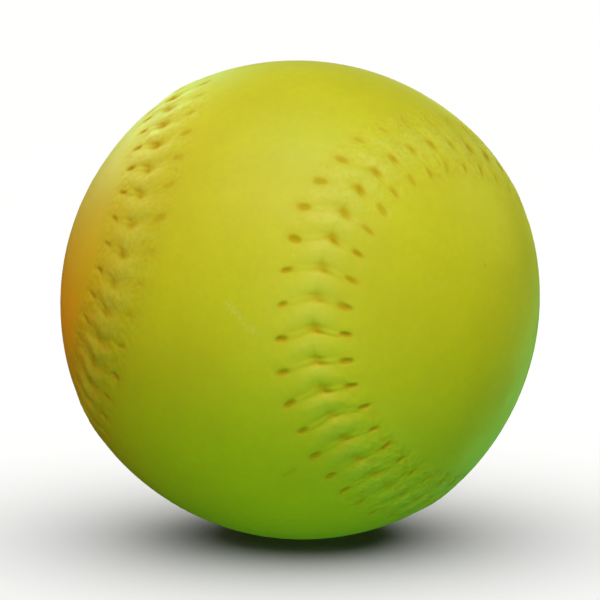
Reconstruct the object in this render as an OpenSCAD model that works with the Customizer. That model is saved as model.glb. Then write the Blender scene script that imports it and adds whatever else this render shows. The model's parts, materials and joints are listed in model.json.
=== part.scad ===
// Twelve inch softball with a moulded two-panel cover.
// The origin is the centre of the ball and Z points up, away from what the ball rests on.

/* [Ball] */
// Outer diameter, over the cover
ball_d = 97; // [80:0.5:110]

/* [Cover] */
// Thickness of the moulded cover
cover_wall = 2.8; // [1.8:0.1:5]
// Width of one panel across its waist, measured along the surface
waist_w = 41; // [34:0.5:48]
// How square the panel lobes are, as a share of the ball radius
lobe_square_share = 0.018; // [0:0.002:0.04]

/* [Seam] */
// Width of the butt joint between the two panels
joint_w = 0.3; // [0.1:0.05:0.8]
// Depth of the parting line below the surface of the ball
parting_depth = 0.5; // [0.2:0.1:1]

/* [Stitches] */
// Number of moulded stitches along the seam
stitch_count = 88; // [60:4:112]
// Distance between the two rows of needle slots, along the surface
row_w = 12.3; // [8:0.1:16]
// How far each stitch runs ahead on its way from the slot to the parting line
stitch_lead = 2.3; // [0:0.1:4]
// Length of a needle slot, across the seam
slot_len = 2.2; // [1.5:0.1:3]
// Width of a needle slot, along the seam
slot_w = 1.2; // [0.6:0.1:1.5]
// Depth of a needle slot
slot_depth = 1.5; // [0.6:0.1:1.7]
// Width of the moulded thread
thread_w = 1.3; // [0.8:0.1:1.8]
// How far the moulded thread stands out of the cover
thread_proud = 0.3; // [0.1:0.05:0.5]

/* [Inner layers] */
// Thickness of the cement film under the cover
cement_t = 0.2; // [0.1:0.05:0.5]
// Thickness of the dipped latex coat
latex_t = 0.4; // [0.2:0.05:1]
// Thickness of the fine binding thread layer
binding_t = 2.5; // [1:0.1:5]
// Thickness of the yarn winding
winding_t = 5; // [2:0.1:10]

/* [Lie of the seam] */
// Turn of the seam about X, applied first
seam_turn_x = -113.8; // [-180:0.1:180]
// Turn of the seam about Y, applied second
seam_turn_y = 8.2; // [-180:0.1:180]
// Turn of the seam about Z, applied last
seam_turn_z = -23.3; // [-180:0.1:180]

/* [Hidden] */
$fn = 96;

// Radii of the layers, from the outside in
ball_r = ball_d / 2;
cover_inner_r = ball_r - cover_wall;
latex_r = cover_inner_r - cement_t;
binding_r = latex_r - latex_t;
winding_r = binding_r - binding_t;
core_r = winding_r - winding_t;

// Small round shapes are drawn with fewer sides than the ball
small_fn = 24;

// Cutting solids reach from inside the cover to past the moulded threads
cut_outer_share = 1.2;
cut_inner_share = 0.8;
cut_outer_r = ball_r * cut_outer_share;
cut_inner_r = cover_inner_r * cut_inner_share;

// Columns along the seam, rings from the seam to the spine of a panel, and columns in a lobe's fan
columns = 176;
rings = 4;
fan_columns = 24;
column_turn = 360 / columns;

// The seam curve repeats its bends, so the width of the waist sets how far it bows
waist_slope = tan(waist_w / ball_d * 180 / PI);
slope_sum = 1 + waist_slope * waist_slope;
fullness = sqrt(lobe_square_share * lobe_square_share * (1 - slope_sum) + slope_sum * waist_slope * waist_slope);
bow_share = (1 - (fullness - lobe_square_share) / slope_sum) / 2;

// Half the joint and half the distance between the rows, as angles at the centre of the ball
joint_angle = joint_w / ball_d * 180 / PI;
row_angle = row_w / ball_d * 180 / PI;

function unit(v) = v / norm(v);

// Point of the seam on a ball of radius 1, where a goes once round from 0 to 360
function seam_dir(a) = unit([
    (1 - bow_share) * sin(a) + bow_share * sin(3 * a) + lobe_square_share * sin(5 * a),
    (1 - bow_share) * cos(a) - bow_share * cos(3 * a) + lobe_square_share * cos(5 * a),
    2 * sqrt(bow_share * (1 - bow_share)) * cos(2 * a)
]);

// Direction along the seam, taken over a short turn, then the direction across it, toward panel b
short_turn = 0.05;
function seam_along(a) = unit(seam_dir(a + short_turn) - seam_dir(a - short_turn));
function seam_across(a) = unit(cross(seam_dir(a), seam_along(a)));

// Point beside the seam at an angle seen from the centre, positive toward panel b
function seam_beside(a, angle) = seam_dir(a) * cos(angle) + seam_across(a) * sin(angle);

// Length run along the seam of a ball of radius 1, paired with the turn where it is reached
trace_steps = 720;
trace = [
    for (i = 0, run = 0; i <= trace_steps;
        run = run + norm(seam_dir((i + 1) * 360 / trace_steps) - seam_dir(i * 360 / trace_steps)), i = i + 1)
    [run, i * 360 / trace_steps]
];
seam_length = trace[trace_steps][0] * ball_r;

// Turn of the seam curve at a length along it
function turn_at(length) = lookup((length % seam_length) / ball_r, trace);

// Stitches are spaced evenly along the seam, and the first stands a share of a pitch from its start
stitch_pitch = seam_length / stitch_count;
first_stitch_share = 0.235;
function hole_turn(i) = turn_at((i + first_stitch_share) * stitch_pitch);
function tip_turn(i) = turn_at((i + first_stitch_share) * stitch_pitch + stitch_lead);

// Column i of the seam maps to one rung of the panel, so that both sides of the panel share its spine
quarter = columns / 4;
function rung(i) = i <= quarter ? i + quarter : (i <= 3 * quarter ? 3 * quarter - i : i - 3 * quarter);
function foot(i) = min(max(rung(i), fan_columns), 2 * quarter - fan_columns);

// The spine of panel a lies on the great circle through its waist and both lobes
function spine_dir(k) = let (p = seam_beside((k - quarter) * column_turn, -joint_angle)) unit([p.x, 0, p.z]);

// Direction from the centre between two others, at a share of the angle between them
function between(p, q, share) =
    let (angle = acos(p * q)) (p * sin((1 - share) * angle) + q * sin(share * angle)) / sin(angle);

// Everything under panel a, from the centre of the ball out past its surface
module reach_a() {
    edge = [for (i = [0:columns - 1]) seam_beside(i * column_turn, -joint_angle)];
    spine = [for (k = [fan_columns:2 * quarter - fan_columns]) spine_dir(k)];
    spokes = [
        for (i = [0:columns - 1], j = [0:rings - 1])
        between(edge[i], spine_dir(foot(i)), j / rings) * cut_outer_r
    ];
    first_spine = columns * rings;
    centre = first_spine + len(spine);
    faces = [
        for (i = [0:columns - 1])
        let (n = (i + 1) % columns, f = first_spine + foot(i) - fan_columns, g = first_spine + foot(n) - fan_columns)
        each concat(
            [[centre, n * rings, i * rings]],
            [for (j = [0:rings - 2]) each [
                [i * rings + j, n * rings + j, n * rings + j + 1],
                [i * rings + j, n * rings + j + 1, i * rings + j + 1]
            ]],
            [[i * rings + rings - 1, n * rings + rings - 1, g]],
            f == g ? [] : [[i * rings + rings - 1, g, f]]
        )
    ];
    polyhedron(concat(spokes, spine * cut_outer_r, [[0, 0, 0]]), faces, convexity = 10);
}

// Half a turn about this axis swaps the two panels
swap_axis = [1, 1, 0];

module reach(side) {
    if (side < 0) reach_a();
    else rotate(180, swap_axis) reach_a();
}

// Closed ribbon that follows the seam, as wide as the joint
module joint_ribbon() {
    corners = [
        for (i = [0:columns - 1], c = [[-1, cut_inner_r], [1, cut_inner_r], [1, cut_outer_r], [-1, cut_outer_r]])
        seam_beside(i * column_turn, c[0] * joint_angle) * c[1]
    ];
    faces = [
        for (i = [0:columns - 1], c = [0:3])
        let (n = (i + 1) % columns, d = (c + 1) % 4)
        each [[i * 4 + c, n * 4 + d, i * 4 + d], [i * 4 + c, n * 4 + c, n * 4 + d]]
    ];
    polyhedron(corners, faces, convexity = 10);
}

// Ball layer between two radii
module layer(outer_r, inner_r) {
    difference() {
        sphere(r = outer_r);
        sphere(r = inner_r);
    }
}

// Puts its children at p with their X axis toward q and their Z axis away from the centre
module facing(p, q, radius) {
    z = unit(p);
    y = unit(cross(z, q - p));
    x = cross(y, z);
    multmatrix([
        [x.x, y.x, z.x, p.x * radius],
        [x.y, y.y, z.y, p.y * radius],
        [x.z, y.z, z.z, p.z * radius],
        [0, 0, 0, 1]
    ]) children();
}

// Slot with round ends, its top past the surface and its floor at the slot depth
module needle_slot() {
    straight = slot_len - slot_w;
    translate([0, 0, -slot_depth])
    linear_extrude(slot_depth + cover_wall)
    union() {
        square([straight, slot_w], center = true);
        for (end = [-1, 1]) translate([end * straight / 2, 0]) circle(d = slot_w, $fn = small_fn);
    }
}

// Moulded thread from a slot to the parting line and half its own width beyond
module thread_ridge(p, q) {
    seat_r = ball_r + thread_proud - thread_w / 2;
    run = (q - p) * seat_r;
    tail = thread_w / 2;
    translate(p * seat_r) {
        sphere(d = thread_w, $fn = small_fn);
        rotate([0, acos(run.z / norm(run)), atan2(run.y, run.x)])
        cylinder(d = thread_w, h = norm(run) + tail, $fn = small_fn);
    }
}

module cover_panel(side) {
    rotate([seam_turn_x, seam_turn_y, seam_turn_z])
    intersection() {
        difference() {
            union() {
                layer(ball_r, cover_inner_r);
                for (i = [0:stitch_count - 1])
                    thread_ridge(seam_beside(hole_turn(i), side * row_angle), seam_dir(tip_turn(i)));
            }
            for (i = [0:stitch_count - 1])
                facing(seam_beside(hole_turn(i), side * row_angle), seam_dir(tip_turn(i)), ball_r) needle_slot();
        }
        reach(side);
    }
}

module cover_panel_a() {
    color("#c9c53c") cover_panel(-1);
}

module cover_panel_b() {
    color("#c4c038") cover_panel(1);
}

module seam_bond() {
    color("#8f8c2c")
    rotate([seam_turn_x, seam_turn_y, seam_turn_z])
    intersection() {
        layer(ball_r - parting_depth, cover_inner_r);
        joint_ribbon();
    }
}

module cement_film() {
    color("#c9b27a") layer(cover_inner_r, latex_r);
}

module latex_coat() {
    color("#e6dcc0") layer(latex_r, binding_r);
}

module binding_thread() {
    color("#e9e4d6") layer(binding_r, winding_r);
}

module yarn_winding() {
    color("#b9b2a2") layer(winding_r, core_r);
}

module kapok_core() {
    color("#d8c79a") sphere(r = core_r);
}

kapok_core();
yarn_winding();
binding_thread();
latex_coat();
cement_film();
cover_panel_a();
cover_panel_b();
seam_bond();
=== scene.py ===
"""Looks of a twelve inch softball: its moulded cover, the bond in its parting line and its wound inside."""

import json
import math

import bpy
import numpy as np
from bpy.props import FloatProperty, FloatVectorProperty, IntProperty, PointerProperty
from mathutils import Euler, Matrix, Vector

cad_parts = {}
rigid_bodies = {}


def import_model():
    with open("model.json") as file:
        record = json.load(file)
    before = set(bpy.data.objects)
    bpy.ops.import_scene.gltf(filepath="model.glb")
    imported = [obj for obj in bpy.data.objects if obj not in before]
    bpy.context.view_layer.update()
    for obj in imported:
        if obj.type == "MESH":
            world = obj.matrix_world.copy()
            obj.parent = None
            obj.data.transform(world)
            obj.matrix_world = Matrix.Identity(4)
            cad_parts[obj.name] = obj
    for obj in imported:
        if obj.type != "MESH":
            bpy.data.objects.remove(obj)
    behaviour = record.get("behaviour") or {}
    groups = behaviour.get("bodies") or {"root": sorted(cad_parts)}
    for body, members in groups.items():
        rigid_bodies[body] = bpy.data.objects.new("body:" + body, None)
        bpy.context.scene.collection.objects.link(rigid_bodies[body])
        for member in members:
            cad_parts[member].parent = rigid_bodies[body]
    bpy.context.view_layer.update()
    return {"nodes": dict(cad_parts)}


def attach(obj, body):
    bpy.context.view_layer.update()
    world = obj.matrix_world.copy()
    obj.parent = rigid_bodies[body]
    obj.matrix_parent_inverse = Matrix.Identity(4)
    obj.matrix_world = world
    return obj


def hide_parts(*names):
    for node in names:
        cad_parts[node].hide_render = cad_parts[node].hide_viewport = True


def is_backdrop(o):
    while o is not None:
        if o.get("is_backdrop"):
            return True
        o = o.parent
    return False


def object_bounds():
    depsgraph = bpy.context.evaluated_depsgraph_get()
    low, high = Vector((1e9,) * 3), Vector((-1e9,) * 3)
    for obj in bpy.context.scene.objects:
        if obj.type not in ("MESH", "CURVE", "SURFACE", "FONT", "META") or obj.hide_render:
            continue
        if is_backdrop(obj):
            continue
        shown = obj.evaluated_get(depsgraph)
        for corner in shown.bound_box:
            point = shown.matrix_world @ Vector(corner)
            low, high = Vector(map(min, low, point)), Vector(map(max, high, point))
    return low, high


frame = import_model()

bl_info = {
    "name": "Moulded softball",
    "version": (1, 0, 0),
    "blender": (4, 5, 0),
    "location": "3D View > Sidebar > Softball",
    "description": "Cover panels, inner layers and studio of a softball with a moulded cover",
    "category": "Add Mesh",
}

BODY = "root"
MM = 0.001
WHOLE_TURN = 2 * math.pi
# Middle of the ball, and about the radius of its open faces, in metres
MIDDLE = (0, 0, 0)
BALL_RADIUS = 0.0484
WHITE = (1, 1, 1)


def linear(hex_colour):
    """Linear red, green and blue of an sRGB hex colour such as c8c33c."""
    srgb = np.array([int(hex_colour[i : i + 2], 16) for i in (0, 2, 4)]) / 255
    return tuple(np.where(srgb <= 0.04045, srgb / 12.92, ((srgb + 0.055) / 1.055) ** 2.4))


def reach_of(node):
    """Largest distance of a CAD node's points from the centre of the ball, in metres."""
    mesh = frame["nodes"][node].data
    points = np.empty(len(mesh.vertices) * 3)
    mesh.vertices.foreach_get("co", points)
    return float(np.linalg.norm(points.reshape(-1, 3), axis=1).max())


def length(name, about, millimetres):
    """A length property, given in millimetres and kept in metres."""
    return FloatProperty(name=name, description=about, default=millimetres * MM, unit="LENGTH", precision=5)


def share(name, about, default):
    """A property without a unit, such as a share of another size."""
    return FloatProperty(name=name, description=about, default=default, precision=3)


def angle(name, about, degrees):
    """An angle property, given in degrees and kept in radians."""
    return FloatProperty(name=name, description=about, default=math.radians(degrees), subtype="ANGLE")


def colour(name, about, hex_colour):
    """A colour property, given as sRGB hex and kept linear."""
    kept = linear(hex_colour)
    return FloatVectorProperty(name=name, description=about, default=kept, subtype="COLOR", min=0, max=1)


class SeamSizes(bpy.types.PropertyGroup):
    """Sizes and lie of the seam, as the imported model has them."""

    wall: length("Cover wall", "Thickness of the moulded cover", 2.8)
    waist_width: length("Waist width", "Width of one panel across its waist, along the surface", 41)
    lobe_square: share("Lobe squareness", "How square the panel lobes are, as a share of the radius", 0.018)
    joint_width: length("Joint width", "Width of the butt joint between the two panels", 0.3)
    row_width: length("Row width", "Distance between the two rows of needle slots", 12.3)
    stitch_count: IntProperty(name="Stitches", description="Moulded stitches along the seam", default=88)
    turn: FloatVectorProperty(
        name="Seam turn",
        description="Turn of the seam about X, then Y, then Z",
        default=tuple(math.radians(a) for a in (-113.8, 8.2, -23.3)),
        subtype="EULER",
    )


class ReliefSizes(bpy.types.PropertyGroup):
    """Sizes of the stitching that is moulded into the cover."""

    base_sink: length("Base sink", "How far the open faces lie inside the nominal ball", 0.2)
    swell_height: length("Swell height", "How far the cover swells toward the seam", 0.63)
    swell_width: length("Swell width", "Distance at which the swell has mostly gone", 11.8)
    slot_length: length("Slot length", "Length of a needle slot, across the seam", 3.0)
    slot_width: length("Slot width", "Width of a needle slot, along the seam", 1.45)
    slot_depth: length("Slot depth", "Depth of a needle slot", 0.3)
    slot_tilt: angle("Slot tilt", "Turn of a slot toward the tip of its thread", 14)
    dish_depth: length("Dish depth", "Depth of the wide dent round each slot", 0.1)
    thread_width: length("Thread width", "Distance between the two lines beside a thread", 1.35)
    thread_height: length("Thread height", "How far a moulded thread stands out between them", 0.04)
    line_width: length("Line width", "Width of the soft line on each side of a thread", 0.9)
    line_depth: length("Line depth", "Depth of that line", 0.06)
    pillow_height: length("Pillow height", "How far the cover puffs up between two threads", 0.38)
    notch_length: length("Notch length", "Length of the notch where two threads meet, along the seam", 2.2)
    notch_width: length("Notch width", "Width of that notch", 2.2)
    notch_depth: length("Notch depth", "Depth of that notch", 0.24)
    notch_offset: length("Notch offset", "How far the notch lies on the side of panel a", 0.4)
    hook_depth: length("Hook depth", "Depth of the fold that hooks from a notch into panel a", 0.18)
    bead_height: length("Bead height", "Height of the bead pushed up before each notch", 0.1)
    wander: length("Wander", "How far the lines beside a thread wander", 0.17)
    lip_gap: length("Lip gap", "Width of the parting line between the two lips", 0.01)
    lip_depth: length("Lip depth", "Depth to which the lips cover the bond", 0.45)


class CoverColours(bpy.types.PropertyGroup):
    """Colours of the moulded cover and of the bond in its parting line."""

    cover: colour("Cover", "Optic yellow of the moulded cover", "dad329")
    cover_worn: colour("Worn cover", "Cover where handling has dulled it", "cfc52c")
    # The pale scuff colour also paints highlight on raised places.
    scuff_and_highlight: colour("Scuff", "Pale dust rubbed into scuffs and raised places", "e4e89c")
    # This colour is also painted shade in the slots, folds and hollows.
    soil_and_shade: colour("Soil", "Cover stained by dirt in the slots and folds", "c59e00")
    bond: colour("Bond", "Set cement in the parting line", "a89a1c")


class LayerColours(bpy.types.PropertyGroup):
    """Colours of the layers under the cover."""

    cement: colour("Cement film", "Set contact cement under the cover", "c9a86a")
    latex: colour("Latex coat", "Dipped latex over the windings", "e4d9b8")
    thread: colour("Binding thread", "Fine cotton and polyester thread", "e8e2d2")
    yarn: colour("Yarn", "Wound wool and cotton yarn", "b8ae9a")
    kapok: colour("Kapok", "Pressed kapok fibre", "d9c795")
    kapok_specks: colour("Kapok specks", "Seed and stalk left among the fibres", "6b4a24")


class StageSizes(bpy.types.PropertyGroup):
    """Camera, floor and lights."""

    camera_distance: length("Camera distance", "From the centre of the ball to the camera", 807.5)
    camera_height: angle("Camera height", "Angle of the camera above the level", 8)
    lens: share("Lens", "Focal length of the lens in millimetres", 239.6)
    sensor_width: share("Sensor width", "Width of the camera's sensor in millimetres", 36)
    floor_width: length("Floor width", "Side of the square floor", 12000)
    floor: colour("Floor", "Pale studio floor", "f4f4f2")
    floor_sun: share("Floor light", "Strength of the wide sun on the floor alone", 3.6)
    floor_sun_spread: angle("Floor light spread", "Angle that the wide sun's disc fills", 110)
    ambient: share("Ambient", "Strength of the white surroundings", 0.015)


class SoftballSettings(bpy.types.PropertyGroup):
    """All settings of the softball."""

    seam: PointerProperty(type=SeamSizes)
    relief: PointerProperty(type=ReliefSizes)
    cover: PointerProperty(type=CoverColours)
    layers: PointerProperty(type=LayerColours)
    stage: PointerProperty(type=StageSizes)


def unit(vectors):
    """Each vector divided by its length."""
    return vectors / np.linalg.norm(vectors, axis=-1, keepdims=True)


def step(values, width):
    """Smooth step from 0 at 0 to 1 at width: 3x squared less 2x cubed, where x is value / width."""
    x = np.clip(values / width, 0, 1)
    return x * x * (3 - 2 * x)


def bell(values, width):
    """Bell curve: e to the power of minus half the square of value / width."""
    return np.exp(-0.5 * (values / width) ** 2)


def waves(points, size, seed, count=48):
    """Smooth seeded noise of about -1 to 1: the mean of count cosines in random directions, with wavelengths
    of 0.67 to 1.43 times size, times the square root of half their number."""
    random = np.random.default_rng(seed)
    heading = unit(random.normal(size=(count, 3)))
    rates = heading * (WHOLE_TURN / size) * random.uniform(0.7, 1.5, (count, 1))
    phases = random.uniform(0, WHOLE_TURN, count)
    total = sum(np.cos(points @ rate + phase) for rate, phase in zip(rates, phases))
    return total * math.sqrt(2 / count) / 2


# Steps in which the seam is traced, and points of it to which distances are measured
CURVE_STEPS = 20000
SEAM_MARKS = 720


class Seam:
    """The closed curve of the parting line, by length along it, on a ball of a given radius.

    On a ball of radius 1 its point at the turn t is (1 - b) sin t + b sin 3t + q sin 5t,
    (1 - b) cos t - b cos 3t + q cos 5t and 2 sqrt(b (1 - b)) cos 2t, scaled to length 1.
    The bow b follows from the width of the waist, and q is the squareness of the lobes."""

    def __init__(self, sizes, radius):
        """Solves the bow, then traces the curve in fine steps and sums their lengths.

        At the waist t is 0, and (1 - 2b + q) / (2 sqrt(b (1 - b))) is the tangent of half the waist's angle.
        That is a quadratic in 1 - 2b, of which the larger root is taken."""
        self.radius = radius
        self.square = sizes.lobe_square
        slope = math.tan(sizes.waist_width / (2 * radius))
        total = 1 + slope**2
        root = math.sqrt(self.square**2 * (1 - total) + total * slope**2)
        self.bow = (1 - (root - self.square) / total) / 2
        self.turn = np.array(Euler(sizes.turn, "XYZ").to_matrix())
        self.turns = np.linspace(0, WHOLE_TURN, CURVE_STEPS + 1)
        points = self.at_turn(self.turns)
        strides = np.linalg.norm(np.diff(points, axis=0), axis=1)
        self.lengths = np.concatenate([[0], np.cumsum(strides)]) * radius
        self.length = self.lengths[-1]
        self.count = sizes.stitch_count
        self.pitch = self.length / self.count

    def at_turn(self, t):
        """Directions from the centre to the curve at the turns t, before the seam is laid on the ball."""
        b, q = self.bow, self.square
        x = (1 - b) * np.sin(t) + b * np.sin(3 * t) + q * np.sin(5 * t)
        y = (1 - b) * np.cos(t) - b * np.cos(3 * t) + q * np.cos(5 * t)
        z = 2 * math.sqrt(b * (1 - b)) * np.cos(2 * t)
        return unit(np.stack([x, y, z], axis=-1))

    def beside(self, lengths, across):
        """Directions at lengths along the curve and distances across it: the point p of the curve times the
        cosine of the angle across, plus the cross product of p and the heading times its sine."""
        t = np.interp(lengths % self.length, self.lengths, self.turns)
        p = self.at_turn(t)
        short = 1e-4
        heading = unit(self.at_turn(t + short) - self.at_turn(t - short))
        outward = unit(np.cross(p, heading))
        swept = (across / self.radius)[..., None]
        return p * np.cos(swept) + outward * np.sin(swept)


# Worn stitching: azimuth from +X, elevation and radius in degrees, and how much of its depth is gone
WORN_PLACES = (
    (-52, 46, 24, 0.68),
    (-86, 36, 20, 0.45),
    (-8, 33, 22, 0.82),
    (-44, 56, 16, 0.8),
    (-38, -46, 22, 0.62),
    (-122, 38, 16, 0.8),
    (-132, 18, 12, 0.8),
    (-134, 6, 12, 0.75),
    (-158, -8, 16, 0.85),
    (-140, 60, 18, 0.82),
)

# Where the cover puffs up more or less between threads: the last number is added to 1
PUFFED_PLACES = (
    (-148, 36, 20, -0.1),
    (-152, -20, 16, 0.5),
    (-30, 42, 26, -0.5),
    (-132, 16, 12, -0.3),
    (-138, 2, 14, -0.45),
    (0, 32, 22, -0.7),
    (-66, -32, 18, -0.35),
)

# Where the moulding is lumpy: the last number is a height in millimetres
LUMPY_PLACES = (
    (-145, -8, 24, 0.085),
    (-150, -32, 20, 0.05),
    (-142, 40, 24, 0.06),
    (-40, 45, 30, 0.09),
    (-38, -44, 22, 0.12),
    (-64, -32, 18, 0.11),
)

# Waves that add up to lumps: wavelength in millimetres, share of the height and seed
LUMP_WAVES = (
    (5, 0.28, 11),
    (2.6, 0.42, 12),
    (1.4, 0.38, 13),
)
# The wave that creases lumps where it crosses zero, in the same way
CREASE_WAVE = (6, 0.2, 14)
# Height of the lumps that lie everywhere, in millimetres
FAINT_LUMPS = 0.03


def toward(azimuth, elevation):
    """Direction from the centre of the ball at an azimuth from +X and an elevation, both in degrees."""
    a, e = math.radians(azimuth), math.radians(elevation)
    return np.array([math.cos(e) * math.cos(a), math.cos(e) * math.sin(a), math.sin(e)])


def near(directions, azimuth, elevation, radius):
    """A bell curve round the middle of a round place on the ball, 0.6 of the place's radius wide."""
    apart = np.degrees(np.arccos(np.clip(directions @ toward(azimuth, elevation), -1, 1)))
    return bell(apart, radius * 0.6)


def crispness(directions):
    """How much of the stitching's depth is left: the product of 1 less what each worn place takes away."""
    return math.prod(1 - gone * near(directions, *place) for *place, gone in WORN_PLACES)


def fullness(directions):
    """How much of the puff between threads there is: 1 and what each puffed place adds."""
    return sum((more * near(directions, *place) for *place, more in PUFFED_PLACES), 1)


def lumps(directions, radius):
    """Height of the lumps, and from 0 to 1 how dark their hollows are, partly dirt and partly painted shade.

    The height is seeded waves less soft creases, each place fading at its rim. The hollows darken where the
    waves are lower than -0.125, and fully where a place is 0.1 mm lumpy or more."""
    points = directions * radius
    rough = sum(part * waves(points, size * MM, seed) for size, part, seed in LUMP_WAVES)
    size, part, seed = CREASE_WAVE
    rough -= part * bell(waves(points, size * MM, seed), 0.3)
    lumpy = sum(height * near(directions, *place) for *place, height in LUMPY_PLACES)
    hollow_dirt_and_shade = np.clip(-1.6 * rough - 0.2, 0, 1) * np.clip(lumpy / 0.1, 0, 1)
    return rough * (FAINT_LUMPS + lumpy) * MM, hollow_dirt_and_shade


# Rows of the fine band beside the seam: distances from the seam in millimetres where the spacing changes,
# and how many rows lie between them
ROW_BREAKS = (1.2, 4.6, 7.7, 9.7)
ROW_COUNTS = (6, 9, 14, 5)
# Width of the round edge of the lip, in millimetres
LIP_EDGE = 0.02
# Columns of the band in a stitch, and how many of them meet one column of the coarser faces
COLUMNS_A_STITCH = 24
COARSE_RATIO = 4
# Rows of the open face beyond the band, of the under face and of the joint's wall, and how dark the wall is,
# partly dirt and partly painted shade
FIELD_ROWS = 16
UNDER_ROWS = 10
WALL_ROWS = 3
WALL_SOIL_AND_SHADE = 0.4

# A stitch's number along the seam, then where its tip, its slot in panel a and its slot in panel b lie, as
# shares of the pitch. They drift along the seam, as if the mould was cut by eye
STITCH_PLACES = np.array([
    (0, 0.50, 0.32, 0.21),
    (8, 0.59, 0.41, 0.40),
    (12, 0.67, 0.40, 0.68),
    (16, 0.67, 0.42, 0.48),
    (20, 0.66, 0.43, 0.33),
    (24, 0.63, 0.50, 0.19),
    (27, 0.33, 0.44, 0.04),
    (30, 0.38, 0.42, 0.15),
    (34, 0.57, 0.39, 0.28),
    (42, 0.47, 0.29, 0.18),
    (50, 0.37, 0.19, 0.08),
    (61, 0.29, -0.15, 0.20),
    (65, 0.29, 0.08, -0.04),
    (70, 0.29, 0.20, -0.06),
    (80, 0.40, 0.22, 0.11),
])
# Columns crowd toward the thread by this share
CROWDING = 0.5


def band_rows(first):
    """Distances of the band's rows from the seam, from first out to the last break. The second row lies close
    to the first, so that only the very edge of the lip is round."""
    ends = [first + LIP_EDGE * MM, *(end * MM for end in ROW_BREAKS)]
    rows = [np.linspace(*pair, count, endpoint=False) for *pair, count in zip(ends, ends[1:], ROW_COUNTS)]
    return np.concatenate([[first], *rows, ends[-1:]])


def stitch_places(across, side, seam, half_row):
    """Lengths along the seam of each grid point, and its distances along it from its thread and its slot.

    A stitch's columns lean with its thread: they start at the tip on the parting line, pass the slot at the
    row of slots and lean half as far at the band's outer edge. The distance from the thread is pitch times
    (u - 1/2 + c sin(2 pi u) / (2 pi)), where u runs from 0 to 1 and c is the crowding."""
    stitch, column = np.divmod(np.arange(seam.count * COLUMNS_A_STITCH), COLUMNS_A_STITCH)
    u = column / COLUMNS_A_STITCH
    numbers, tips = STITCH_PLACES[:, 0], STITCH_PLACES[:, 1]
    slots = STITCH_PLACES[:, 2 if side < 0 else 3]
    here = stitch + u - 0.5
    tip = np.interp(here, numbers, tips, period=seam.count)
    slot = np.interp(here, numbers, slots, period=seam.count)
    edge = ROW_BREAKS[-1] * MM
    inner = np.clip(across / half_row, 0, 1)[:, None]
    outer = np.clip((across - half_row) / (edge - half_row), 0, 1)[:, None]
    lean = tip + inner * (slot - tip) + outer * (0.5 - slot) / 2
    crowd = CROWDING * (1 - step(across - ROW_BREAKS[-2] * MM, edge - ROW_BREAKS[-2] * MM))[:, None]
    along = seam.pitch * (u - 0.5 + crowd * np.sin(WHOLE_TURN * u) / WHOLE_TURN)
    lengths = (stitch + lean) * seam.pitch + along
    middle = np.interp(stitch, numbers, slots, period=seam.count)
    return lengths, along, lengths - (stitch + middle) * seam.pitch


def swell(across, relief):
    """Height of the cover over the nominal ball: a bell curve across the seam, less the base sink."""
    return relief.swell_height * bell(across, relief.swell_width) - relief.base_sink


# How square a slot's ellipse is and its size in panel a and in panel b, as a share. Then, as shares of the
# ellipse: where the wall ends, where the slot's darkening, partly dirt and partly painted shade, starts to
# fade, how far it fades and the dish's width
SLOT_SQUARE = 2.3
SLOT_SHARE = {-1: 1.05, 1: 0.95}
SLOT_WALL = 1.15
SLOT_DARK_START = 0.35
SLOT_DARK_FADE = 0.85
DISH_WIDTH = 1.3
# In millimetres: how far a thread fades before its slot, and how far from seam and slot its lines are deep
THREAD_FADE = 2.2
LINE_FROM_SEAM = 1.7
LINE_FROM_SLOT = 1.3
# How far the notch lies past the thread, and how far off the seam, how wide and how long its dark patch is,
# partly dirt and partly painted shade
NOTCH_PAST = 0.1
NOTCH_DARK_OFFSET = 0.5
NOTCH_DARK_WIDTH = 1.0
NOTCH_DARK_LENGTH = 0.65
# How far off the seam the hook is deepest, how wide it is, and how far it takes to rise from the seam
HOOK_MIDDLE = 0.9
HOOK_WIDTH = 1.1
HOOK_START = 0.8
# How far the bead lies before the thread, and how long and how wide it is
BEAD_BEFORE = 1.8
BEAD_LENGTH = 0.8
BEAD_WIDTH = 1.2
# How far the puff goes past the slots, how far it takes to fade, and how wide its crest is
PUFF_PAST = 0.3
PUFF_FADE = 4.5
PUFF_CREST = 2


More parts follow.
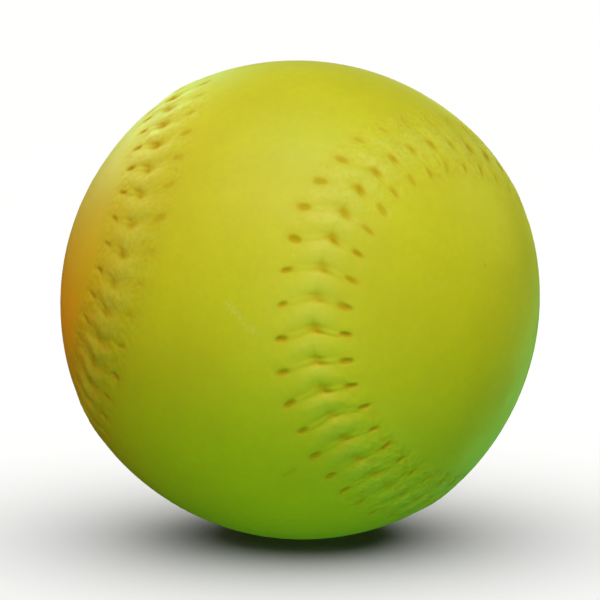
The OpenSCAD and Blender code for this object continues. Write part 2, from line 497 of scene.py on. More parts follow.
def stitch_relief(along, past, across, side, half_row, relief, pitch, variety, wobble, left):
    """Heights of the crisp forms and of the puff of moulded stitches, how dark they are with dirt and painted
    shade, and how pale with wear and painted highlight.

    along and past are distances along the seam from the thread and from the middle of the slot, and across is
    the distance from the seam. variety holds the stitches' own sizes, wobble is the noise by which the lines
    wander, and left is what wear has left of the crisp forms. The lines wear first, and the darkening in the
    recesses last.

    The slot is a tilted and slightly square ellipse whose walls slope to a narrow bottom, darkened, in a wide
    dish. The thread is a low ridge between two soft lines, deepest near the seam and near the slot. The notch
    is a bell to the side of panel a, with a dark patch, and in panel a the line before the thread goes on
    from it as a deeper fold, the hook. A bead lies before each notch. The puff is minus half the cosine of
    the way from one thread to the next, and most at the seam. Named widths are bells 1/4 to 1/2.4 wide.
    The darkening of slot, dish, lines, notch and hook is partly dirt and partly painted shade in these
    recesses. The paling of puffs, beads and the band by the seam is partly wear and partly painted highlight."""
    half_row = half_row + variety["place"]
    slot_half, slot_reach = (size / 2 * SLOT_SHARE[side] for size in (relief.slot_width, relief.slot_length))
    tilt = relief.slot_tilt + variety["turn"]
    past = past - variety["stray"]
    inward = half_row - across
    lengthwise = past * np.sin(tilt) + inward * np.cos(tilt)
    sideways = past * np.cos(tilt) - inward * np.sin(tilt)
    powers = np.abs(lengthwise / slot_reach) ** SLOT_SQUARE + np.abs(sideways / slot_half) ** SLOT_SQUARE
    out = powers ** (1 / SLOT_SQUARE) * (1 + 0.25 * wobble)
    slot = (1 - step(out, SLOT_WALL)) * variety["depth"]
    slot_dirt_and_shade = (1 - step(out - SLOT_DARK_START, SLOT_DARK_FADE)) * variety["depth"]
    dish = bell(out, DISH_WIDTH) * variety["depth"]
    along = along + relief.wander * (wobble + variety["bow"] * np.sin(math.pi * across / half_row))
    window = step(inward, THREAD_FADE * MM)
    ridge = bell(along, relief.thread_width / 4) * window
    deep = 0.3 + 0.7 * bell(across, LINE_FROM_SEAM * MM) + 0.35 * bell(inward, LINE_FROM_SLOT * MM)
    before = bell(along + relief.thread_width / 2, relief.line_width / 4) * variety["before"]
    after = bell(along - relief.thread_width / 2, relief.line_width / 4) * variety["after"]
    lines = (before + after) * (deep * (1 + 0.6 * wobble)) * window * left**2
    beyond = along - NOTCH_PAST * MM
    notch = bell(side * across + relief.notch_offset, relief.notch_width / 2.4)
    notch = notch * bell(beyond, relief.notch_length / 3) * variety["notch"] * (1 + 0.5 * wobble)
    notch_dirt_and_shade = bell(side * across + NOTCH_DARK_OFFSET * MM, NOTCH_DARK_WIDTH * MM)
    notch_dirt_and_shade = notch_dirt_and_shade * bell(beyond, NOTCH_DARK_LENGTH * MM) * variety["notch"]
    hook = bell(along + relief.thread_width / 2, relief.line_width / 3.4)
    hook = hook * bell(across - HOOK_MIDDLE * MM, HOOK_WIDTH * MM)
    hook = hook * variety["notch"] * step(across, HOOK_START * MM) * (side < 0)
    bead = bell(along + BEAD_BEFORE * MM, BEAD_LENGTH * MM) * bell(across, BEAD_WIDTH * MM)
    reach = step(half_row + PUFF_PAST * MM - across, PUFF_FADE * MM)
    reach = reach * (0.65 + 0.35 * bell(across, PUFF_CREST * MM))
    puff = -0.5 * np.cos(WHOLE_TURN * along / pitch) * variety["puff"] * reach
    crisp = (
        relief.thread_height * ridge
        + relief.bead_height * bead
        - relief.slot_depth * slot
        - relief.dish_depth * dish
        - relief.line_depth * lines
        - relief.notch_depth * notch
        - relief.hook_depth * hook
    )
    # Darkening in the slot, dish, lines, hook and notch: partly dirt, partly painted shade.
    stained = slot_dirt_and_shade + 0.16 * lines + 0.4 * hook
    smear_dirt_and_shade = (1.1 - 0.25 * left) * notch_dirt_and_shade + (0.24 - 0.09 * left) * dish
    soil_and_shade = np.clip(stained * (0.1 + 0.9 * left) + smear_dirt_and_shade, 0, 1)
    # Puffs, beads and the band by the seam turn pale, more where worn: partly wear, partly painted highlight.
    rubbed_and_highlit = np.clip(puff + (1.2 - 0.7 * left) * reach + 0.4 * bead - soil_and_shade, 0, 1)
    return crisp * left, relief.pillow_height * puff, soil_and_shade, rubbed_and_highlit


def stitch_variety(count, side):
    """Seeded sizes of each stitch, repeated over its columns: depths and heights of about 1, and how far its
    slot strays from its row, along the seam and from its tilt. What meets at the parting line is the same on
    both sides, and the puff blends from each stitch to the next."""
    shared, random = np.random.default_rng(7), np.random.default_rng(8 + side)
    own = {
        "depth": random.uniform(0.75, 1.1, count),
        "place": random.normal(0, 0.22 * MM, count),
        "stray": random.normal(0, 0.12 * MM, count),
        "turn": random.normal(0, math.radians(6), count),
        "bow": random.normal(-0.4, 0.6, count),
        "before": shared.uniform(0.6, 1.3, count),
        "after": shared.uniform(0.4, 1.1, count),
        "notch": shared.uniform(0.6, 1.2, count),
    }
    variety = {name: np.repeat(values, COLUMNS_A_STITCH) for name, values in own.items()}
    middles = (np.arange(count) + 0.5) * COLUMNS_A_STITCH
    columns = np.arange(count * COLUMNS_A_STITCH)
    puffs = shared.uniform(0.7, 1.25, count)
    variety["puff"] = np.interp(columns, middles, puffs, period=count * COLUMNS_A_STITCH)
    return variety


def band_grid(seam, side, settings):
    """Directions and radii of the fine band beside the seam, by row and column, by name how dark each point
    is with dirt and painted shade, how pale with wear and painted highlight, and how worn, and how far along
    the seam the first row's points lie."""
    relief, half_row = settings.relief, settings.seam.row_width / 2
    across = band_rows(relief.lip_gap / 2)
    lengths, along, past = stitch_places(across, side, seam, half_row)
    directions = seam.beside(lengths, side * np.broadcast_to(across[:, None], lengths.shape))
    laid = directions @ seam.turn.T
    variety = stitch_variety(seam.count, side)
    wobble = waves(laid * seam.radius, 5 * MM, 21)
    left = crispness(laid)
    crisp, puff, soil_and_shade, rubbed_and_highlit = stitch_relief(
        along, past, across[:, None], side, half_row, relief, seam.pitch, variety, wobble, left
    )
    rough, hollow_dirt_and_shade = lumps(laid, seam.radius)
    height = crisp + puff * fullness(laid) + rough
    fade = 1 - step(across - ROW_BREAKS[-2] * MM, (ROW_BREAKS[-1] - ROW_BREAKS[-2]) * MM)[:, None]
    radii = seam.radius + swell(across[:, None], relief) + height * fade
    # The band's darkening of slots, folds and hollows is partly dirt and partly painted shade; its paling is
    # partly wear and partly painted highlight.
    marks = {"soil_and_shade": np.maximum(soil_and_shade, 0.32 * hollow_dirt_and_shade * fade), "rubbed_and_highlit": rubbed_and_highlit, "worn": (1 - left) * fade}
    return directions, radii, marks, lengths[0]


# Share of a quarter of the seam whose spokes all meet at the middle of a lobe
FAN_SHARE = 0.55


def spokes(edge, side, rows):
    """Rows of directions from a panel's edge loop to its spine, their feet there, and each column's foot.

    A foot is the nearest point of the great circle through the panel's waist and lobes. The two halves of the
    loop share one row of feet, held at the middle of each lobe. The rows lie at equal angles between edge and
    foot: sin((1 - k) a) edge + sin(k a) foot, over sin a, where a is the angle from one to the other."""
    columns = len(edge)
    quarter = columns // 4
    i = np.arange(columns)
    if side > 0:
        i = (quarter - i) % columns
    rung = np.where(i <= quarter, i + quarter, np.where(i <= 3 * quarter, 3 * quarter - i, i - 3 * quarter))
    fan = round(quarter * FAN_SHARE)
    standing = (rung >= fan) & (rung <= 2 * quarter - fan)
    rung = np.clip(rung, fan, 2 * quarter - fan) - fan
    flat = edge * ([1, 0, 1] if side < 0 else [0, 1, 1])
    feet = np.zeros((2 * (quarter - fan) + 1, 3))
    feet[rung[standing]] = unit(flat[standing])
    foot = feet[rung]
    a = np.arccos(np.clip((edge * foot).sum(1), -1, 1))
    k = np.arange(1, rows)[:, None] / rows
    near_edge = (np.sin((1 - k) * a) / np.sin(a))[..., None] * edge
    near_foot = (np.sin(k * a) / np.sin(a))[..., None] * foot
    return near_edge + near_foot, feet, rung


def ring_quads(rows):
    """Quads between each ring of point numbers and the next, closed round."""
    a, b = rows[:-1], rows[1:]
    return np.stack([a, np.roll(a, -1, 1), np.roll(b, -1, 1), b], axis=-1).reshape(-1, 4)


def narrowing(fine, coarse):
    """Triangles between a ring and a coarser one: each coarse point takes the nearer fine edges on both sides
    of it, and one triangle fills the gap between coarse points."""
    ratio = len(fine) // len(coarse)
    following = np.roll(coarse, -1)
    ends = np.roll(fine, -1)
    middle = ratio // 2
    tips = [coarse] * middle + [following] * (ratio - middle)
    parts = [np.stack([fine[k::ratio], ends[k::ratio], tip], axis=-1) for k, tip in enumerate(tips)]
    return np.concatenate([*parts, np.stack([fine[middle::ratio], following, coarse], axis=-1)])


def foot_faces(last, feet, rung):
    """Triangles from the last ring of points to the feet that its columns share."""
    here, there = feet[rung], np.roll(feet[rung], -1)
    first = np.stack([last, np.roll(last, -1), there], axis=-1)
    second = np.stack([last, there, here], axis=-1)[here != there]
    return np.concatenate([first, second])


def numbered(grids):
    """Point numbers of several grids, one after another, each in the shape of its grid."""
    counts = [grid[..., 0].size for grid in grids]
    starts = np.cumsum([0, *counts])
    return [start + np.arange(n).reshape(grid.shape[:-1]) for start, n, grid in zip(starts, counts, grids)]


def cover_panel(seam, side, settings):
    """Points, faces and named values of one closed cover panel.

    The open face is a fine band beside the seam and a coarser field from there to the spine of the panel. A
    wall goes down the joint below the lips, and the under face goes to the spine as the field does."""
    directions, radii, band_marks, lengths = band_grid(seam, side, settings)
    band = directions * radii[..., None]
    field, feet, rung = spokes(directions[-1, ::COARSE_RATIO], side, FIELD_ROWS)
    outer = np.concatenate([field.reshape(-1, 3), feet])
    distance = nearest_seam(outer, seam)
    outer = outer * (seam.radius + swell(distance, settings.relief))[:, None]

    under_radius = seam.radius - settings.seam.wall
    rim = seam.beside(lengths, np.full(lengths.shape, side * settings.seam.joint_width / 2))
    lip_radius = seam.radius - settings.relief.lip_depth
    wall = rim * np.linspace(lip_radius, under_radius, WALL_ROWS)[:-1, None, None]
    under_edge = rim[::COARSE_RATIO]
    under, under_feet, under_rung = spokes(under_edge, side, UNDER_ROWS)
    under = np.concatenate([under_edge[None], under])

    parts = (band, outer, wall, under * under_radius, under_feet * under_radius)
    points = np.concatenate([part.reshape(-1, 3) for part in parts]) @ seam.turn.T
    ids = numbered((band, field, feet, wall, under, under_feet))
    band_ids, field_ids, feet_ids, wall_ids, under_ids, under_feet_ids = ids
    quads = np.concatenate([
        ring_quads(band_ids),
        ring_quads(field_ids),
        ring_quads(np.concatenate([band_ids[:1], wall_ids]))[:, ::-1],
        ring_quads(under_ids)[:, ::-1],
    ])
    triangles = np.concatenate([
        narrowing(band_ids[-1], field_ids[0]),
        foot_faces(field_ids[-1], feet_ids, rung),
        narrowing(wall_ids[-1], under_ids[0])[:, ::-1],
        foot_faces(under_ids[-1], under_feet_ids, under_rung)[:, ::-1],
    ])
    if side < 0:
        quads, triangles = quads[:, ::-1], triangles[:, ::-1]
    rest = (0, len(points) - radii.size)
    marks = {key: np.pad(values.ravel(), rest) for key, values in band_marks.items()}
    # The joint's wall darkens: partly dirt, partly painted shade between the panels.
    marks["soil_and_shade"][wall_ids.ravel()] = WALL_SOIL_AND_SHADE
    return points, quads.tolist() + triangles.tolist(), marks


def nearest_seam(directions, seam):
    """Distance along the surface from each direction to the nearest of SEAM_MARKS points of the seam."""
    marks = seam.at_turn(np.linspace(0, WHOLE_TURN, SEAM_MARKS + 1)[:-1])
    return np.arccos(np.clip((directions @ marks.T).max(1), -1, 1)) * seam.radius


def stand(name, data):
    """A new object that is put in the scene."""
    made = bpy.data.objects.new(name, data)
    bpy.context.scene.collection.objects.link(made)
    return made


def make_mesh(name, points, faces, marks):
    """A smooth-shaded object from points and faces, with named values on its points."""
    mesh = bpy.data.meshes.new(name)
    mesh.from_pydata(points, [], faces, shade_flat=False)
    for key, values in marks.items():
        mesh.attributes.new(key, "FLOAT", "POINT").data.foreach_set("value", values.astype(np.float32))
    if mesh.validate(verbose=False):
        raise RuntimeError(f"{name} has faces that Blender had to mend")
    return stand(name, mesh)


def feed(node, inputs):
    """Gives inputs of a node a value, a colour without its alpha, or another node's output."""
    for name, value in inputs.items():
        socket = node.inputs[name]
        if isinstance(value, bpy.types.NodeSocket):
            node.id_data.links.new(value, socket)
        elif socket.type == "RGBA":
            socket.default_value = (*value, 1)
        else:
            socket.default_value = value


def add(near, kind, inputs=None, **settings):
    """Adds a shader node to the tree that near is in. settings are its own values, and inputs feed it."""
    made = near.id_data.nodes.new(f"ShaderNode{kind}")
    for name, value in settings.items():
        setattr(made, name, value)
    feed(made, inputs or {})
    return made


def new_material(name):
    """An empty material, its shader and its object coordinates."""
    material = bpy.data.materials.new(name)
    material.use_nodes = True
    material.node_tree.nodes.clear()
    shader = add(material.node_tree, "BsdfPrincipled")
    add(shader, "OutputMaterial", {"Surface": shader.outputs["BSDF"]})
    return material, shader, add(shader, "TexCoord").outputs["Object"]


def grain(place, millimetres, detail, roughness=0.5):
    """Noise whose grains are about so many millimetres across, from 0 to 1."""
    inputs = {"Vector": place, "Scale": 1000 / millimetres, "Detail": detail, "Roughness": roughness}
    return add(place, "TexNoise", inputs).outputs["Fac"]


def spread(value, low, high, to_low=0.0, to_high=1.0):
    """value moved from the range low to high into the range to_low to to_high, and held there."""
    inputs = {"Value": value, "From Min": low, "From Max": high, "To Min": to_low, "To Max": to_high}
    return add(value, "MapRange", inputs).outputs["Result"]


def times(a, b):
    """The product of two values."""
    return add(a, "Math", {0: a, 1: b}, operation="MULTIPLY").outputs["Value"]


def strongest(a, b):
    """The larger of two values."""
    return add(a, "Math", {0: a, 1: b}, operation="MAXIMUM").outputs["Value"]


def tint(amount, a, b):
    """Colour a turning to colour b as amount goes from 0 to 1."""
    return add(amount, "Mix", {0: amount, 6: a, 7: b}, data_type="RGBA").outputs[2]


def darker(colour_value, part):
    """A colour of which only a part is left."""
    return tuple(channel * part for channel in colour_value)


def on_points(place, name):
    """The value that a mesh keeps on its points under a name."""
    return add(place, "Attribute", attribute_name=name).outputs["Fac"]


def raised(height, millimetres, below=None):
    """A bump of so many millimetres from a height of 0 to 1, laid over another bump."""
    inputs = {"Height": height, "Strength": 1.0, "Distance": millimetres * MM}
    if below is not None:
        inputs["Normal"] = below
    return add(height, "Bump", inputs).outputs["Normal"]


def mark(place, start, end, millimetres):
    """1 on the straight line between two places on the ball, fading to 0 at so many millimetres from it.

    The nearest point of the line is its start plus the offset's share along it, held between its ends."""
    first, last = (Vector(toward(*corner) * BALL_RADIUS) for corner in (start, end))
    reach = (last - first).length
    heading = (last - first).normalized() if reach else Vector((0, 0, 1))
    offset = add(place, "VectorMath", {0: place, 1: first}, operation="SUBTRACT").outputs["Vector"]
    along = add(place, "VectorMath", {0: offset, 1: heading}, operation="DOT_PRODUCT").outputs["Value"]
    held = add(place, "Clamp", {"Value": along, "Min": 0.0, "Max": reach}).outputs["Result"]
    foot = add(place, "VectorMath", {0: heading, "Scale": held}, operation="SCALE").outputs["Vector"]
    gap = add(place, "VectorMath", {0: offset, 1: foot}, operation="DISTANCE").outputs["Value"]
    return spread(gap, 0.0, millimetres * MM, 1.0, 0.0)


def marks_together(place, table):
    """The strongest of a table's marks, each times its own strength."""
    total = None
    for *ends, millimetres, strength in table:
        line = times(mark(place, ends[:2], ends[2:], millimetres), strength)
        total = line if total is None else strongest(total, line)
    return total


# Pale scuffs and small pits: azimuth and elevation in degrees of both ends, the distance in millimetres at
# which they have faded, and their strength
SCUFFS = (
    (-106.6, 6.8, -104.0, 4.1, 1.3, 0.9),
    (-103.0, 2.8, -99.8, 0.2, 1.2, 0.7),
    (-108, 24, -101, 17, 0.5, 0.25),
    (-60, 12, -52, 9, 0.6, 0.2),
    (20, -10, 31, -4, 1.4, 0.6),
    (96, 22, 104, 31, 1.0, 0.5),
    (150, -24, 141, -20, 0.7, 0.5),
)
PITS = (
    (-31.0, -42.7, -30.8, -42.5, 0.75, 1.0),
    (-94.4, -36.3, -91.4, -34.3, 0.8, 0.6),
    (-79, -39, -79, -39, 0.6, 0.35),
    (-40, 13, -40.3, 13.4, 0.5, 0.35),
    (-71, -6, -71, -6, 0.5, 0.3),
    (62, 18, 62, 18, 0.6, 0.5),
    (118, -8, 119, -8, 0.6, 0.5),
)


# How strongly each finish tints the cover: duller clouds and mottles, dust in patches, in scuffs, wear and
# painted highlight on what stands out, dust in crumbs where the cover is worn, dark flecks there, and dirt,
# with painted shade in the slots and folds
CLOUDS = 0.5
MOTTLES = 0.3
PATCHES = 0.2
SCUFFED = 0.5
RUBBED_AND_HIGHLIT = 0.11
CRUMBS = 0.15
FLECKS = 0.4
DIRT_AND_SHADE = 0.9


def moulded_polyurethane(colours):
    """Polyurethane, compression moulded with pigment: a satin skin with the fine matt grain of the mould,
    faint duller clouds, dust and painted highlight on what stands out, pale scuffs, dirt and painted shade in
    the slots and folds, and dark pits."""
    material, shader, place = new_material("moulded_polyurethane_optic_yellow")
    worn = on_points(place, "worn")
    crumbs = grain(place, 0.9, 3, 0.65)

    clouds = spread(grain(place, 18, 3, 0.6), 0.4, 0.65)
    mottles = spread(grain(place, 1.6, 3, 0.6), 0.35, 0.65, 0.0, MOTTLES)
    base = tint(times(clouds, CLOUDS), colours.cover, colours.cover_worn)
    base = tint(mottles, base, colours.cover_worn)

    patchy = spread(grain(place, 9, 6, 0.7), 0.62, 0.78)
    fine = spread(grain(place, 0.8, 4, 0.7), 0.45, 0.7)
    broken = spread(grain(place, 1.1, 3, 0.65), 0.38, 0.62)
    scuffs = times(marks_together(place, SCUFFS), broken)
    # The pale tint on what stands out is partly wear and partly painted highlight.
    dust_and_highlight = (
        times(times(patchy, fine), PATCHES),
        times(scuffs, SCUFFED),
        times(on_points(place, "rubbed_and_highlit"), RUBBED_AND_HIGHLIT),
        times(spread(crumbs, 0.48, 0.66, 0.0, CRUMBS), worn),
    )
    for amount in dust_and_highlight:
        base = tint(amount, base, colours.scuff_and_highlight)

    pits = marks_together(place, PITS)
    flecks = times(spread(crumbs, 0.46, 0.34, 0.0, FLECKS), worn)
    # Dirt and painted shade from the band's points, with the pits and the flecks where worn.
    dirty_and_shaded = strongest(strongest(on_points(place, "soil_and_shade"), pits), flecks)
    satin = spread(grain(place, 6, 4, 0.6), 0.3, 0.7, 0.44, 0.56)
    dull = add(place, "Math", {0: dirty_and_shaded, 1: 0.5, 2: satin}, operation="MULTIPLY_ADD")
    bumps = raised(grain(place, 5, 3, 0.55), 0.05)
    bumps = raised(crumbs, 0.03, bumps)
    bumps = raised(times(pits, -1.0), 0.12, bumps)
    feed(shader, {
        "Base Color": tint(times(dirty_and_shaded, DIRT_AND_SHADE), base, colours.soil_and_shade),
        "Roughness": dull.outputs["Value"],
        "IOR": 1.5,
        "Normal": raised(times(crumbs, worn), 0.05, bumps),
    })
    return material


def set_contact_cement(name, colour_value, millimetres):
    """Contact cement, brushed on and set: a dull, slightly stringy rubber film with small beads."""
    material, shader, place = new_material(name)
    beads = grain(place, millimetres, 5, 0.65)
    feed(shader, {
        "Base Color": tint(spread(beads, 0.35, 0.65), darker(colour_value, 0.6), colour_value),
        "Roughness": spread(beads, 0.3, 0.7, 0.35, 0.6),
        "Normal": raised(beads, 0.12),
    })
    return material


def dipped_latex(colours):
    """Natural latex, dipped and air dried: a thin milky skin with a soft gloss, runs and tiny bubbles."""
    material, shader, place = new_material("dipped_latex")
    bubble_mm = 1.6
    runs = grain(place, 12, 3)
    bubbles = add(place, "TexVoronoi", {"Vector": place, "Scale": 1000 / bubble_mm}).outputs["Distance"]
    feed(shader, {
        "Base Color": tint(spread(runs, 0.35, 0.65), darker(colours.latex, 0.8), colours.latex),
        "Roughness": spread(runs, 0.3, 0.7, 0.25, 0.4),
        "Normal": raised(spread(bubbles, 0.12, 0.22), 0.06, raised(runs, 0.3)),
    })
    return material


# How many times the bands of a wave texture repeat in a whole turn of its scaled coordinate
BANDS_A_TURN = 20


def wound_fibre(name, colour_value, pitch_mm, layers=4):
    """Wound yarn or thread: parallel turns in several directions that cross over each other, each layer
    showing where it lies on top, with a soft matt fibre look. pitch_mm is the spacing of the turns."""
    material, shader, place = new_material(name)
    scale = WHOLE_TURN * 1000 / (BANDS_A_TURN * pitch_mm)
    shape = {"Scale": scale, "Distortion": 1.5, "Detail": 1.0, "Detail Scale": 0.2}
    height = None
    for layer in range(layers):
        turned = {"Vector": place, "Rotation": (0.9 + 1.3 * layer, 0.5 + 2.1 * layer, 0.7 * layer)}
        laid = add(place, "Mapping", turned).outputs["Vector"]
        turns = add(place, "TexWave", {"Vector": laid, **shape}, bands_direction="X").outputs["Fac"]
        if height is None:
            height = turns
        else:
            on_top = spread(grain(laid, pitch_mm * 14, 1), 0.5, 0.53)
            height = add(place, "Mix", {0: on_top, 2: height, 3: turns}, data_type="FLOAT").outputs[0]
    fibres = grain(place, pitch_mm * 0.25, 4, 0.7)
    # The yarn darkens into the grooves between its turns: painted shade.
    base = tint(spread(height, 0.05, 0.6), darker(colour_value, 0.45), colour_value)
    pale = tuple(min(1.0, channel * 1.15) for channel in colour_value)
    feed(shader, {
        "Base Color": tint(spread(fibres, 0.5, 0.75, 0, 0.5), base, pale),
        "Roughness": 0.85,
        "Sheen Weight": 0.25,
        "Normal": raised(fibres, pitch_mm * 0.1, raised(height, pitch_mm * 0.35)),
    })
    return material


def pressed_kapok(colours):
    """Kapok, carded and pressed into a ball: short silky fibres matted together, cream with brown specks."""
    material, shader, place = new_material("pressed_kapok_fibre")
    matted = grain(place, 4, 8, 0.75)
    # The bands of hair lie about 5 mm apart
    shape = {"Scale": 62.5, "Distortion": 14.0, "Detail": 5.0, "Detail Scale": 3.0}
    hair = add(place, "TexWave", {"Vector": place, **shape}).outputs["Fac"]
    base = tint(spread(matted, 0.35, 0.6), darker(colours.kapok, 0.6), colours.kapok)
    specks = times(spread(grain(place, 1.2, 2), 0.7, 0.76), 0.7)
    feed(shader, {
        "Base Color": tint(specks, base, colours.kapok_specks),
        "Roughness": 0.9,
        "Sheen Weight": 0.4,
        "Normal": raised(hair, 0.25, raised(matted, 0.6)),
    })
    return material


def painted_floor(colour_value):
    """Emulsion paint, rolled on a board: flat and pale, with a very faint roller stipple."""
    material, shader, place = new_material("rolled_emulsion_paint")
    base = tint(grain(place, 2.5, 2), darker(colour_value, 0.985), colour_value)
    feed(shader, {"Base Color": base, "Roughness": 0.9})
    return material


def dress(obj, material):
    """Gives an object one material in place of what it had."""
    obj.data.materials.clear()
    obj.data.materials.append(material)


class SOFTBALL_OT_cover_panels(bpy.types.Operator):
    """Models both panels of the moulded cover, in place of the plain ones"""

    bl_idname = "softball.cover_panels"
    bl_label = "Cover panels"

    def execute(self, context):
        """Builds panel a on one side of the seam and panel b on the other."""
        settings = context.scene.softball
        seam = Seam(settings.seam, reach_of("cement_film") + settings.seam.wall)
        material = moulded_polyurethane(settings.cover)
        for side, node in ((-1, "cover_panel_a"), (1, "cover_panel_b")):
            panel = make_mesh(f"{node}_moulded", *cover_panel(seam, side, settings))
            dress(panel, material)
            # The ball's yellow stays off the floor
            panel.visible_diffuse = False
            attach(panel, BODY)
            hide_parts(node)
        return {"FINISHED"}


class SOFTBALL_OT_seam_bond(bpy.types.Operator):
    """Finishes the ribbon of cement in the parting line"""

    bl_idname = "softball.seam_bond"
    bl_label = "Seam bond"

    def execute(self, context):
        """Gives the bond the look of set cement."""
        colours = context.scene.softball.cover
        dress(frame["nodes"]["seam_bond"], set_contact_cement("set_cement_in_seam", colours.bond, 0.4))
        return {"FINISHED"}


class SOFTBALL_OT_inner_layers(bpy.types.Operator):
    """Finishes the cement, latex, thread, yarn and kapok under the cover"""

    bl_idname = "softball.inner_layers"
    bl_label = "Inner layers"

    def execute(self, context):
        """Gives each inner layer its own material."""
        colours = context.scene.softball.layers
        finishes = {
            "cement_film": set_contact_cement("brushed_contact_cement", colours.cement, 2.5),
            "latex_coat": dipped_latex(colours),
            "binding_thread": wound_fibre("wound_cotton_polyester_thread", colours.thread, 0.8),
            "yarn_winding": wound_fibre("wound_wool_yarn", colours.yarn, 1.8),
            "kapok_core": pressed_kapok(colours),
        }
        for node, material in finishes.items():
            dress(frame["nodes"][node], material)
        return {"FINISHED"}


def aim(obj, place, target):
    """Puts a camera or light at a place and turns it to face the target."""
    obj.location = place
    obj.rotation_euler = (Vector(target) - Vector(place)).to_track_quat("-Z", "Y").to_euler()


def around(azimuth, elevation, distance):
    """Place at an azimuth to the right of the camera's side, an elevation and a distance from the middle."""
    return distance * toward(azimuth - 90, elevation)


def light(name, kind, place, target, power, tone, receivers, **settings):
    """A light that shines from a place at a target, on a collection of receivers alone. settings are the
    values of its kind."""
    data = bpy.data.lights.new(name, kind)
    data.energy = power
    data.color = tone
    for key, value in settings.items():
        setattr(data, key, value)
    made = stand(name, data)
    aim(made, place, target)
    made.light_linking.receiver_collection = receivers
    made.visible_camera = False


# Soft square lights on the ball, at this distance in metres: name, azimuth to the right of the camera's side
# and elevation in degrees, side in metres, power in watts, and tone
LIGHT_DISTANCE = 1.6
LIGHTS = (
    ("key", 25, 58, 0.6, 11.1, (1, 0.91, 0.56)),
    ("key_front", 0, 56, 0.5, 3.0, (1, 0.4, 0.1)),
    ("key_left", 335, 58, 0.6, 3.0, (0.42, 0, 1)),
    ("front", 0, 8, 0.5, 6.3, (0.96, 1, 0.4)),
    ("low_front", 5, -16, 0.8, 5.2, (0.53, 1, 0.22)),
    ("top", 0, 84, 0.8, 6.3, (0.12, 1, 0.57)),
    ("back", 208, 34, 0.6, 1.4, (0.57, 1, 0)),
    ("back_left", 218, 33, 0.3, 3.8, (0.95, 1, 0.34)),
    ("back_rim", 199, 20, 0.5, 4.3, (0.38, 1, 0.54)),
    ("right_rim", 165, 5, 0.6, 2.0, (0.9, 1, 0.2)),
    ("top_rim", 172, 14, 0.7, 0.6, (0, 0.1, 1)),
    ("left", 272, 36, 0.6, 3.5, (1, 0.5, 0.14)),
    ("orange_high", 235, 9, 0.3, 2.3, (1, 0.06, 0)),
    ("orange_back", 222, -7, 0.3, 1.9, (1, 0, 0)),
    ("orange_side", 262, 5, 0.3, 1.8, (1, 0, 0)),
    ("right", 118, 25, 0.8, 4.6, (0.97, 1, 0.28)),
    ("low_right", 145, -20, 0.8, 4.1, (0.3, 1, 0.25)),
    ("low_left", 320, -40, 0.6, 2.5, (0, 1, 0)),
    ("below_right", 70, -58, 0.8, 3.5, (0.06, 1, 0.18)),
    ("behind", 180, -8, 0.3, 8.0, (1, 0.8, 0.5)),
)

# The narrow light that pales the ball's upper left edge: its azimuth, elevation and distance, azimuth and
# elevation of the place it lights, beam in degrees, power in watts, and tone
EDGE_LIGHT = (222, 21, 0.5, 289, 31, 2.5, 4.6, (0.8, 1, 0.55))


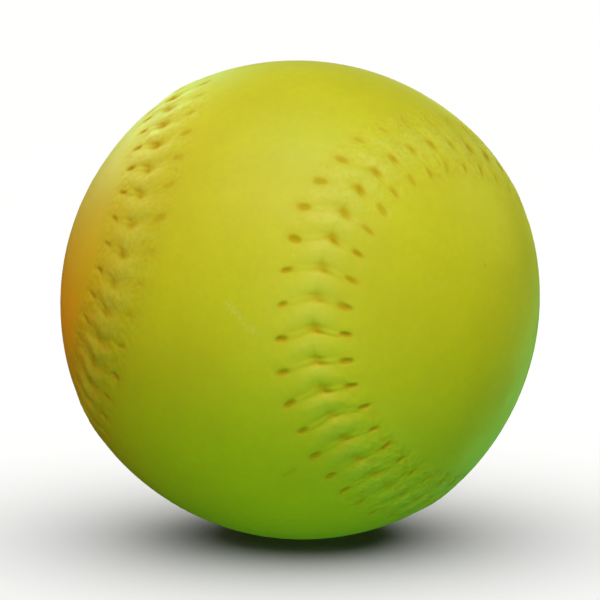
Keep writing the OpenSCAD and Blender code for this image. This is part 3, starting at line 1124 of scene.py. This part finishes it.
class SOFTBALL_OT_stage(bpy.types.Operator):
    """Lays the floor and sets the camera and lights"""

    bl_idname = "softball.stage"
    bl_label = "Stage"

    def execute(self, context):
        """Lays the floor under the ball, then sets the camera, the lights and faint surroundings."""
        stage = context.scene.softball.stage
        half, level = stage.floor_width / 2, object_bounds()[0][2]
        corners = [(x * half, y * half, level) for x, y in ((-1, -1), (1, -1), (1, 1), (-1, 1))]
        floor = make_mesh("floor", corners, [range(4)], {})
        dress(floor, painted_floor(stage.floor))
        floor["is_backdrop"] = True

        ball = bpy.data.collections.new("ball_only")
        ground = bpy.data.collections.new("floor_only")
        for piece in bpy.data.objects:
            if piece.type == "MESH":
                (ground if piece == floor else ball).objects.link(piece)

        camera = stand("camera", bpy.data.cameras.new("camera"))
        camera.data.lens = stage.lens
        camera.data.sensor_width = stage.sensor_width
        camera.data.sensor_fit = "HORIZONTAL"
        d, h = stage.camera_distance, stage.camera_height
        aim(camera, (0, -d * math.cos(h), d * math.sin(h)), MIDDLE)
        context.scene.camera = camera

        for name, turn, height, size, power, tone in LIGHTS:
            place = around(turn, height, LIGHT_DISTANCE)
            light(name, "AREA", place, MIDDLE, power, tone, ball, shape="SQUARE", size=size)
        turn, height, distance, lit_turn, lit_height, beam, power, tone = EDGE_LIGHT
        place, lit = around(turn, height, distance), around(lit_turn, lit_height, BALL_RADIUS)
        snoot = {"spot_size": math.radians(beam), "spot_blend": 1.0, "shadow_soft_size": 0.02}
        light("left_edge", "SPOT", place, lit, power, tone, ball, **snoot)
        place, power = (0, 0, LIGHT_DISTANCE), stage.floor_sun
        light("floor_sun", "SUN", place, MIDDLE, power, WHITE, ground, angle=stage.floor_sun_spread)
        # The floor neither shades the ball nor shows in it
        floor.visible_shadow = False
        floor.visible_diffuse = False
        floor.visible_glossy = False

        world = bpy.data.worlds.new("studio")
        world.use_nodes = True
        feed(world.node_tree.nodes["Background"], {"Color": WHITE, "Strength": stage.ambient})
        context.scene.world = world
        context.scene.view_settings.view_transform = "Standard"
        return {"FINISHED"}


class SOFTBALL_PT_sidebar(bpy.types.Panel):
    """Lists the softball's operators and settings in the sidebar"""

    bl_label = "Softball"
    bl_idname = "SOFTBALL_PT_sidebar"
    bl_space_type = "VIEW_3D"
    bl_region_type = "UI"
    bl_category = "Softball"

    def draw(self, context):
        """Draws one button for each operator and one box for each group of settings."""
        settings = context.scene.softball
        for operator in OPERATORS:
            self.layout.operator(operator.bl_idname)
        for part in settings.__annotations__:
            group, box = getattr(settings, part), self.layout.box()
            for key in group.__annotations__:
                box.prop(group, key)


OPERATORS = (SOFTBALL_OT_cover_panels, SOFTBALL_OT_seam_bond, SOFTBALL_OT_inner_layers, SOFTBALL_OT_stage)
GROUPS = (SeamSizes, ReliefSizes, CoverColours, LayerColours, StageSizes, SoftballSettings)
CLASSES = (*GROUPS, *OPERATORS, SOFTBALL_PT_sidebar)


def register():
    """Registers the classes and hangs the settings on the scene."""
    for made in CLASSES:
        bpy.utils.register_class(made)
    bpy.types.Scene.softball = PointerProperty(type=SoftballSettings)


def unregister():
    """Takes the settings off the scene and the classes out again."""
    del bpy.types.Scene.softball
    for made in reversed(CLASSES):
        bpy.utils.unregister_class(made)


def main():
    register()
    bpy.ops.softball.cover_panels()
    bpy.ops.softball.seam_bond()
    bpy.ops.softball.inner_layers()
    bpy.ops.softball.stage()


if __name__ == "__main__":
    main()
